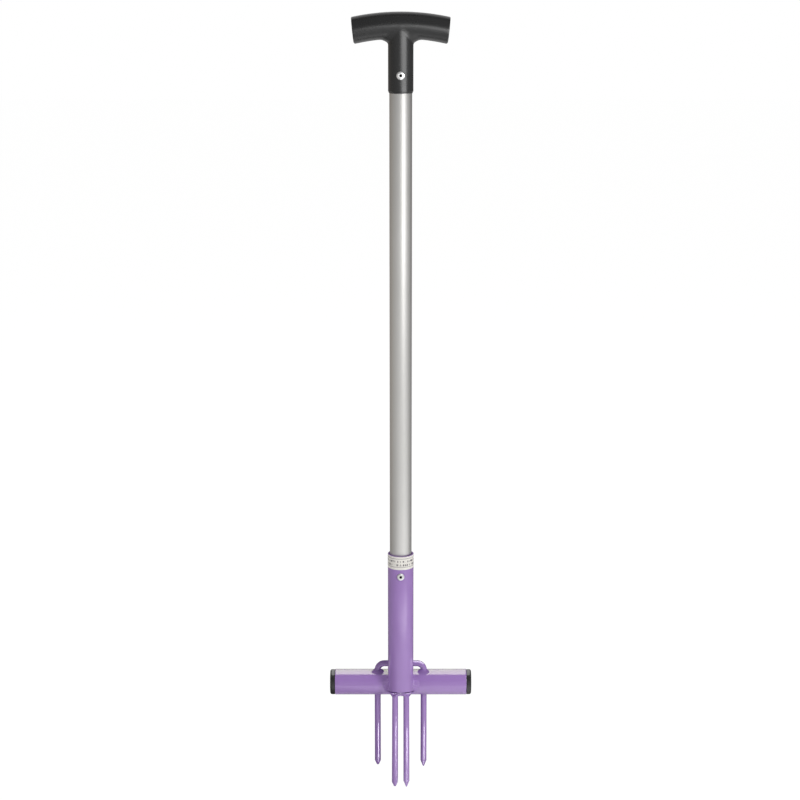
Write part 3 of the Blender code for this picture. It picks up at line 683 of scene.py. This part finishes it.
def makeStapleWeld(sideName, side):
    legX = side * (stapleHigh.x - rodRadius)
    root = rodRadius - collar["bite"]
    rings = []
    for i in range(collar["steps"] + 2):
        angle = math.pi / 2 * min(i / collar["steps"], 1)
        under = collar["sink"] if i > collar["steps"] else 0
        spread = 0 if under else 1 - math.cos(angle)
        ring = []
        for j in range(collar["sides"]):
            bearing = math.tau * j / collar["sides"]
            across, back = math.cos(bearing), math.sin(bearing)
            toe = (collar["outer"] if across * side > 0 else collar["inner"]) * across ** 2
            toe += collar[sideName + "Tip"] * max(across * side, 0) ** collar["sharp"]
            toe += (collar["back"] if back > 0 else collar["front"]) * back ** 2
            toe *= 1 + collar["ripple"] * math.sin(collar["ripples"] * bearing + side)
            y = barCentre.y + back * (root + toe * spread) - collar["lean"] * spread
            rise = collar["height"] * (1 - math.sin(angle)) - under - 0.04 * mm
            ring.append((legX + across * (root + toe * spread), y, barTop(y) + rise))
        rings.append(ring)
    bm = bmesh.new()
    loft(bm, rings, joined=True)
    return makePiece(sideName + "StapleWeld", bm, powderCoat, "powder_coat", sideName + "_staple_weld")


# each fillet runs from behind the socket, round the bar's front and in under the socket's lip
seam = dict(first=34, last=128, steps=64, faceSteps=9, leftReach=7.6 * mm, rightReach=9.2 * mm, climb=0.62,
            fill=0.5, ripple=0.05, ripples=10, bury=1.2 * mm, feather=0.06 * mm)


def makeSocketWeld(sideName, side):
    rings = []
    for i in range(seam["steps"] + 1):
        share = i / seam["steps"]
        turned = math.radians(seam["first"] + (seam["last"] - seam["first"]) * share)
        up = Vector((0, -math.sin(turned), math.cos(turned)))
        back = (barCentre.y - shaftY - barRadius * math.sin(turned)) / socketRadius
        across = Vector((side * math.sqrt(1 - back ** 2), back, 0))
        corner = shaftAxis + across * socketRadius + zAxis * (barCentre.z + barRadius * math.cos(turned))
        alongBar = (across - up * across.dot(up)).normalized()
        alongSocket = (up - across * across.dot(up)).normalized()
        reach = seam[sideName + "Reach"] * math.sin(math.pi * (0.04 + 0.92 * share)) ** 0.9
        reach *= 1 + seam["ripple"] * math.sin(math.tau * seam["ripples"] * share)
        ring = []
        for j in range(seam["faceSteps"] + 1):
            # between a hollow face and a flat one, told by how far a point is from either tube
            flat = j / seam["faceSteps"]
            hollow = math.pi / 2 * flat
            offSocket = reach * ((1 - flat) * seam["fill"] + (1 - math.sin(hollow)) * (1 - seam["fill"]))
            offBar = reach * (flat * seam["fill"] + (1 - math.cos(hollow)) * (1 - seam["fill"]))
            offBar *= seam["climb"]
            offSocket -= seam["feather"]
            offBar -= seam["feather"]
            a, b = offSocket, offBar
            for _ in range(6):
                point = corner + alongBar * a + alongSocket * b
                a += (offSocket - math.hypot(point.x, point.y - shaftY) + socketRadius) / alongBar.dot(across)
                fromBar = math.hypot(point.y - barCentre.y, point.z - barCentre.z)
                b += (offBar - fromBar + barRadius) / alongSocket.dot(up)
            ring.append(corner + alongBar * a + alongSocket * b)
        ring.append(corner - (alongBar + alongSocket) * seam["bury"])
        rings.append(ring)
    bm = bmesh.new()
    loft(bm, rings, joined=False)
    return makePiece(sideName + "SocketWeld", bm, powderCoat, "powder_coat", sideName + "_socket_weld")


crown = dict(voxel=0.4 * mm, swell=0.4 * mm, smoothing=5, flareSpread=4.4 * mm, flareLow=126.4 * mm,
             flareHigh=133.5 * mm, flareBack=5.0 * mm)


def makeHairpinWeld():
    # the CAD's run of weld, remeshed so that it flows into the metal beside it
    bm = bmesh.new()
    bm.from_mesh(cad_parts["hairpin_weld"].data)
    closeUp(bm)
    # a flare runs out from each leg on to the bar
    for _, side in sides:
        place = Vector((side * (hairpinHigh.x - rodRadius),
                        (hairpinLow.y + hairpinHigh.y) / 2 + crown["flareBack"],
                        (crown["flareLow"] + crown["flareHigh"]) / 2))
        bmesh.ops.create_cone(bm, cap_ends=True, segments=48, radius1=rodRadius,
                              radius2=rodRadius + crown["flareSpread"],
                              depth=crown["flareHigh"] - crown["flareLow"], matrix=Matrix.Translation(place))
    runModifiers(bm, ("REMESH", dict(mode="VOXEL", voxel_size=crown["voxel"])),
                 ("SMOOTH", dict(factor=0.5, iterations=crown["smoothing"])),
                 ("DISPLACE", dict(strength=crown["swell"], mid_level=0.0)))
    return makePiece("hairpinWeld", bm, powderCoat, "powder_coat", "hairpin_weld")


collars = [makeStapleWeld(sideName, sideSign) for sideName, sideSign in sides]
for sideName, sideSign in sides:
    makeSocketWeld(sideName, sideSign)
hairpinWeld = makeHairpinWeld()
print("pieces ready")

# Camera: the photograph's own view, from a little above the handle
view = dict(location=(-0.0009, -2.3961, 1.0852), tilt=76.85, lens=86.95, sensor=36.0)
camera = bpy.data.objects.new("camera", bpy.data.cameras.new("camera"))
camera.data.lens = view["lens"]
camera.data.sensor_width = view["sensor"]
camera.location = view["location"]
camera.rotation_euler = (math.radians(view["tilt"]), 0, 0)
bpy.context.scene.collection.objects.link(camera)
bpy.context.scene.camera = camera

# Floor: pale paper that the camera and mirrors see as white, with a share of real shadow
floor = dict(colour="#f4f4f2", half=12.0, drop=0.4 * mm, white=1.08, shade=0.12)


def makeFloor():
    bm = bmesh.new()
    bmesh.ops.create_grid(bm, x_segments=1, y_segments=1, size=floor["half"],
                          matrix=Matrix.Translation((0, 0, -floor["drop"])))
    mesh = bpy.data.meshes.new("studioFloor")
    bm.to_mesh(mesh)
    bm.free()
    material, tree, shader, where = newMaterial("paleStudioPaper", Roughness=0.9)
    tree.nodes.remove(shader)
    path = addNode(tree, "ShaderNodeLightPath")
    seen = addNode(tree, "ShaderNodeMath",
                   {0: path.outputs["Is Camera Ray"], 1: path.outputs["Is Glossy Ray"]},
                   operation="MAXIMUM")
    seen = addNode(tree, "ShaderNodeMath", {0: seen.outputs[0], 1: path.outputs["Is Transmission Ray"]},
                   operation="MAXIMUM")
    paper = addNode(tree, "ShaderNodeBsdfDiffuse", {"Color": toLinear(floor["colour"])})
    glow = addNode(tree, "ShaderNodeEmission", {"Strength": floor["white"]})
    shade = addNode(tree, "ShaderNodeMixShader",
                    {"Fac": 1 - floor["shade"], 1: paper.outputs[0], 2: glow.outputs[0]})
    mix = addNode(tree, "ShaderNodeMixShader",
                  {"Fac": seen.outputs[0], 1: paper.outputs[0], 2: shade.outputs[0]})
    tree.links.new(mix.outputs[0], tree.nodes["Material Output"].inputs["Surface"])
    mesh.materials.append(material)
    plane = bpy.data.objects.new("studioFloor", mesh)
    bpy.context.scene.collection.objects.link(plane)


makeFloor()


# Reflection cards: what the shiny surfaces see of the studio; they light nothing else
def glowMaterial(name):
    material, tree, shader, where = newMaterial(name)
    tree.nodes.remove(shader)
    glow = addNode(tree, "ShaderNodeEmission")
    tree.links.new(glow.outputs[0], tree.nodes["Material Output"].inputs["Surface"])
    return material, tree, glow, where


def makeCard(name, bm, material):
    mesh = bpy.data.meshes.new(name)
    bm.to_mesh(mesh)
    bm.free()
    mesh.materials.append(material)
    card = bpy.data.objects.new(name, mesh)
    bpy.context.scene.collection.objects.link(card)
    card.visible_camera = False
    card.visible_diffuse = False
    card.visible_shadow = False
    card.visible_transmission = False
    card.visible_volume_scatter = False
    return card


# the room: greys by bearing, in degrees to the right of the camera as the tool sees it
room = dict(radius=3.3, low=-0.5, high=4.5, dimFrom=1.1, dimTo=1.6, upper=0.5, near=0.45, middle=1.0,
            walls={-180: "#5a5a5a", -150: "#8d8781", -122: "#aca69f", -60: "#c6c5c3", -37: "#d6d6d5",
                   8: "#ececec", 38: "#f6f6f6", 62: "#e8e8e8", 88: "#c0c0c0", 120: "#8f8e8d"},
            farFloor={-180: "#868686", -150: "#9c9792", -122: "#aca69f", -60: "#c6c5c3", -37: "#d6d6d5",
                      8: "#ececec", 38: "#f6f6f6", 62: "#e8e8e8", 88: "#c0c0c0", 120: "#9a9a99"},
            middleFloor={-180: "#606060", -122: "#8a8886", -60: "#b4b4b3", -20: "#d0d0d0", 8: "#d6d6d6",
                         25: "#f0f0f0", 42: "#ffffff", 62: "#ffffff", 88: "#c8c8c8", 120: "#828282"},
            middleLevel=1.25,
            nearFloor={-180: "#5c5c5c", -122: "#3c3c3c", -60: "#747474", -20: "#f4f4f4", 40: "#ffffff",
                       62: "#f4f4f4", 88: "#bcbcbc", 120: "#7c7c7c"}, nearLevel=1.5, lift=0.2 * mm)


def roomMaterial(name, greys, level):
    material, tree, glow, where = glowMaterial(name)
    place = addNode(tree, "ShaderNodeSeparateXYZ", {"Vector": where})
    ahead = addNode(tree, "ShaderNodeMath", {0: place.outputs["Y"], 1: -1.0}, operation="MULTIPLY")
    bearing = addNode(tree, "ShaderNodeMath", {0: place.outputs["X"], 1: ahead.outputs[0]},
                      operation="ARCTAN2")
    share = addNode(tree, "ShaderNodeMapRange",
                    {"Value": bearing.outputs[0], "From Min": -math.pi, "From Max": math.pi})
    ramp = addNode(tree, "ShaderNodeValToRGB", {"Fac": share.outputs["Result"]})
    stops = ramp.color_ramp.elements
    stops[0].color = stops[1].color = toLinear(greys[-180])
    for degrees, grey in greys.items():
        if degrees > -180:
            stops.new((degrees + 180) / 360).color = toLinear(grey)
    tree.links.new(ramp.outputs["Color"], glow.inputs["Color"])
    # the upper walls and the ceiling are dimmer
    strength = addNode(tree, "ShaderNodeMapRange",
                       {"Value": place.outputs["Z"], "From Min": room["dimFrom"], "From Max": room["dimTo"],
                        "To Min": level, "To Max": level * room["upper"]})
    tree.links.new(strength.outputs["Result"], glow.inputs["Strength"])
    return material


def roomRing(bm, radius, level):
    ring = bmesh.ops.create_circle(bm, radius=radius, segments=96,
                                   matrix=Matrix.Translation(zAxis * level))["verts"]
    return list({e for v in ring for e in v.link_edges})


def makeRoom():
    bm = bmesh.new()
    edges = extendRing(bm, roomRing(bm, room["radius"], room["low"]), zAxis * (room["high"] - room["low"]))
    bmesh.ops.edgeloop_fill(bm, edges=edges)
    makeCard("studioWalls", bm, roomMaterial("studioWall", room["walls"], 1.0))
    bm = bmesh.new()
    extendRing(bm, roomRing(bm, room["radius"], room["lift"]), Vector(), room["middle"] / room["radius"],
               Vector())
    makeCard("farFloorCard", bm, roomMaterial("farFloor", room["farFloor"], 1.0))
    bm = bmesh.new()
    extendRing(bm, roomRing(bm, room["middle"], room["lift"]), Vector(), room["near"] / room["middle"], Vector())
    makeCard("middleFloorCard", bm, roomMaterial("middleFloor", room["middleFloor"], room["middleLevel"]))
    bm = bmesh.new()
    bmesh.ops.edgeloop_fill(bm, edges=roomRing(bm, room["near"], room["lift"]))
    makeCard("nearFloorCard", bm, roomMaterial("nearFloor", room["nearFloor"], room["nearLevel"]))


makeRoom()


def flatCard(name, corners, axis, start, end, *shownOn, colour="#ffffff"):
    # a card whose glow changes along one axis, from (place, strength) to (place, strength); only the named
    # pieces show it, and the rest see through it
    material, tree, glow, where = glowMaterial(name)
    glow.inputs["Color"].default_value = toLinear(colour)
    place = addNode(tree, "ShaderNodeSeparateXYZ", {"Vector": where})
    strength = addNode(tree, "ShaderNodeMapRange",
                       {"Value": place.outputs[axis], "From Min": start[0], "From Max": end[0],
                        "To Min": start[1], "To Max": end[1]})
    tree.links.new(strength.outputs["Result"], glow.inputs["Strength"])
    clear = addNode(tree, "ShaderNodeBsdfTransparent")
    both = addNode(tree, "ShaderNodeAddShader", {0: clear.outputs[0], 1: glow.outputs[0]})
    tree.links.new(both.outputs[0], tree.nodes["Material Output"].inputs["Surface"])
    bm = bmesh.new()
    bm.faces.new([bm.verts.new(corner) for corner in corners])
    card = makeCard(name, bm, material)
    group = bpy.data.collections.new(name)
    for piece in shownOn:
        group.objects.link(piece)
    card.light_linking.receiver_collection = group


# softboxes at front right of the handle and the shaft, and pale walls and floor behind the grip
flatCard("handleSoftbox", [(0.12, -0.6, 0.62), (0.56, -0.45, 0.62),
                           (0.56, -0.45, 1.1), (0.12, -0.6, 1.1)],
         "X", (0.1, 4.4), (0.5, 4.4), tHandle, *rivets)
flatCard("handleFade", [(-0.06, -0.6, 0.88), (0.12, -0.6, 0.88),
                        (0.12, -0.6, 1.08), (-0.06, -0.6, 1.08)],
         "X", (-0.06, 0.2), (0.09, 3.6), tHandle)
flatCard("handleBack", [(-0.6, 0.6, 1.1), (0.6, 0.6, 1.1),
                        (0.6, 0.6, 2.8), (-0.6, 0.6, 2.8)],
         "Z", (1.1, 1.0), (2.8, 0.4), tHandle)
flatCard("handleUnder", [(-0.6, 0.03, 0.6), (0.6, 0.03, 0.6),
                         (0.6, 0.6, 0.6), (-0.6, 0.6, 0.6)],
         "Y", (0.03, 0.8), (0.6, 0.8), tHandle)
flatCard("shaftSoftbox", [(0.14, -0.6, 0.45), (0.5, -0.5, 0.45),
                          (0.5, -0.5, 1.1), (0.14, -0.6, 1.1)],
         "Z", (0.45, 0.4), (0.75, 2.2), shaftTube)
# a panel over the end caps and the foot bar, and a bright floor before the bar
flatCard("capPanel", [(-0.094, -0.0002, 0.16), (0.094, -0.0002, 0.16),
                      (0.094, 0.06, 0.16), (-0.094, 0.06, 0.16)],
         "Y", (0.001, 4.6), (0.02, 1.3), *endCaps)
flatCard("barPanel", [(-0.087, 0.0008, 0.16), (0.087, 0.0008, 0.16),
                      (0.087, 0.06, 0.16), (-0.087, 0.06, 0.16)],
         "Y", (0.001, 6.3), (0.02, 1.3), footBar, colour="#eeffc8")
flatCard("barFloor", [(-0.45, -0.45, 0.0004), (0.45, -0.45, 0.0004),
                      (0.45, 0.45, 0.0004), (-0.45, 0.45, 0.0004)],
         "X", (-0.4, 0.5), (0.4, 0.5), footBar)
# a wall that the bar's right-hand rim catches
flatCard("barEndCard", [(0.2, -0.06, 0.08), (0.2, 0.06, 0.08),
                        (0.2, 0.06, 0.22), (0.2, -0.06, 0.22)],
         "Z", (0.08, 6.0), (0.2, 6.0), footBar)
# a panel that the staple's right-hand shoulder catches, and floor that lights the weld under the lip
flatCard("shoulderPanel", [(0.016, -0.05, 0.27), (0.2, -0.05, 0.27),
                           (0.2, 0.08, 0.27), (0.016, 0.08, 0.27)],
         "X", (0.02, 8.0), (0.2, 8.0), tines[0])
flatCard("crownFloor", [(-0.15, -0.25, 0.0004), (0.15, -0.25, 0.0004),
                        (0.15, -0.02, 0.0004), (-0.15, -0.02, 0.0004)],
         "X", (-0.15, 4.5), (0.15, 4.5), hairpinWeld)
# bright floor in front of the socket and, close by, cards for the tines
flatCard("socketFloor", [(-0.3, -0.65, 0.0004), (-0.6, -1.15, 0.0004),
                         (1.1, -0.85, 0.0004), (0.6, -0.38, 0.0004)],
         "X", (-0.3, 0.5), (0.4, 2.2), socketTube)
flatCard("innerTineCard", [(0.012, -0.0553, 0.0005), (0.05, -0.0553, 0.0005),
                           (0.05, -0.0553, 0.06), (0.012, -0.0553, 0.06)],
         "Z", (0.0, 9.0), (0.06, 11.0), tines[1])
flatCard("innerTineFloor", [(0.002, -0.0203, 0.0004), (0.013, -0.0203, 0.0004),
                            (0.05, -0.0553, 0.0004), (0.012, -0.0553, 0.0004)],
         "Y", (-0.06, 9.0), (0.0, 9.0), tines[1])
flatCard("leftTineCard", [(-0.023, -0.0196, 0.0005), (-0.0117, -0.0132, 0.0005),
                          (-0.0117, -0.0132, 0.062), (-0.023, -0.0196, 0.062)],
         "Z", (0.0, 14.0), (0.06, 14.0), tines[0])
flatCard("rightTineCard", [(0.0348, -0.0132, 0.0005), (0.0524, -0.0196, 0.0005),
                           (0.0524, -0.0196, 0.062), (0.0348, -0.0132, 0.062)],
         "Z", (0.0, 14.0), (0.06, 14.0), tines[0])

# Lights: a large key at front right, a weak fill at left, and an overhead softbox
lamps = dict(
    key=dict(location=(1.7, -1.9, 1.5), aim=(0, 0, 0.5), size=(0.6, 1.0), watts=38),
    fill=dict(location=(-2.2, -1.2, 1.4), aim=(0, 0, 0.5), size=(1.6, 2.0), watts=9),
    top=dict(location=(0.1, 0.4, 2.6), aim=(0, 0, 0.5), size=(2.0, 1.6), watts=14),
)
# the socket keeps the fill and the overhead light off the staple's loop behind it
shaded = bpy.data.collections.new("shaded")
for piece in (tines[0], *collars):
    shaded.objects.link(piece)
for member in shaded.collection_objects:
    member.light_linking.link_state = "EXCLUDE"
for lampName, lamp in lamps.items():
    data = bpy.data.lights.new(lampName, "AREA")
    data.shape = "RECTANGLE"
    data.size, data.size_y = lamp["size"]
    data.energy = lamp["watts"]
    light = bpy.data.objects.new(lampName, data)
    light.location = lamp["location"]
    sight = Vector(lamp["aim"]) - Vector(lamp["location"])
    light.rotation_euler = sight.to_track_quat("-Z", "Y").to_euler()
    light.visible_camera = False
    light.visible_glossy = False
    if lampName != "key":
        light.light_linking.receiver_collection = shaded
    bpy.context.scene.collection.objects.link(light)

# World: white to the eye and to mirrors, an even grey to everything it lights
sky = dict(level=0.42)
world = bpy.data.worlds.new("studio")
bpy.context.scene.world = world
world.use_nodes = True
tree = world.node_tree
background = tree.nodes["Background"]
path = addNode(tree, "ShaderNodeLightPath")
seen = addNode(tree, "ShaderNodeMath",
               {0: path.outputs["Is Camera Ray"], 1: path.outputs["Is Glossy Ray"]},
               operation="MAXIMUM")
seen = addNode(tree, "ShaderNodeMath", {0: seen.outputs[0], 1: path.outputs["Is Transmission Ray"]},
               operation="MAXIMUM")
strength = addNode(tree, "ShaderNodeMapRange",
                   {"Value": seen.outputs[0], "To Min": sky["level"], "To Max": 1.0})
tree.links.new(strength.outputs["Result"], background.inputs["Strength"])
background.inputs["Color"].default_value = (1, 1, 1, 1)
bpy.context.scene.view_settings.view_transform = "Standard"
print("stage ready")
